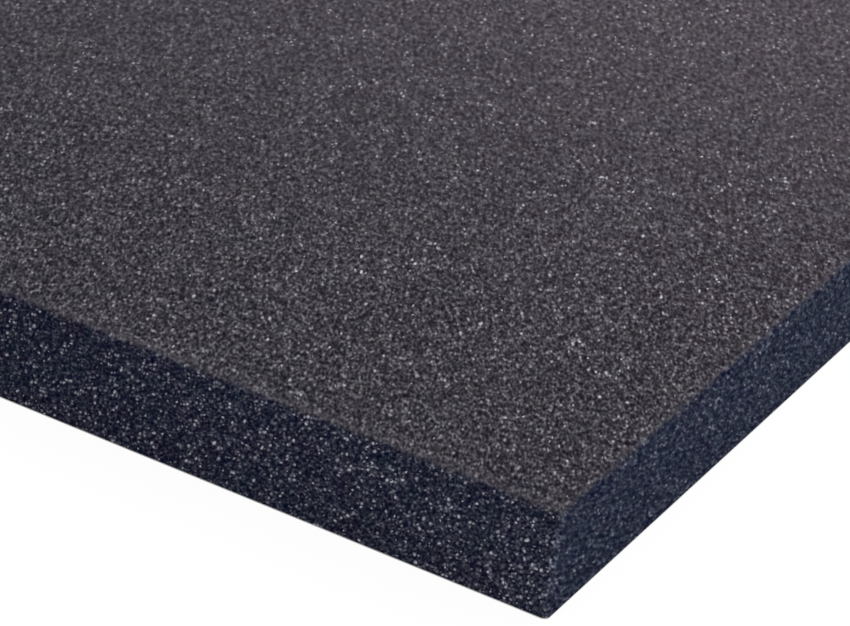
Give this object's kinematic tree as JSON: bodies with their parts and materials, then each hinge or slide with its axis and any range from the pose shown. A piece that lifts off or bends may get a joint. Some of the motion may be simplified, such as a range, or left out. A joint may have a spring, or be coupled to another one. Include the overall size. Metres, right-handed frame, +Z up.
{
  "type": "adhesive foam sheet",
  "caption": "Square sheet of fine-celled open foam, charcoal and soft-edged, with a thin adhesive film under it and a flush peel-off release liner.",
  "frame": {"origin": "centre of the underside, on the release liner's lower face", "axes": "+Z up through the thickness to the foam's open face, +X along the sheet's length, +Y along its width; -Y is the front side"},
  "size_m": [0.3, 0.3, 0.0253],
  "materials": {
    "foam": "charcoal open-cell polyurethane foam, matt, with fine glinting cell films",
    "adhesive": "clear, faintly straw-coloured pressure-sensitive acrylic film",
    "liner": "off-white siliconised paper, satin, faintly fibrous"
  },
  "bodies": {
    "root": {"foam_sheet": "foam", "adhesive_film": "adhesive", "release_liner": "liner"}
  },
  "joints": []
}
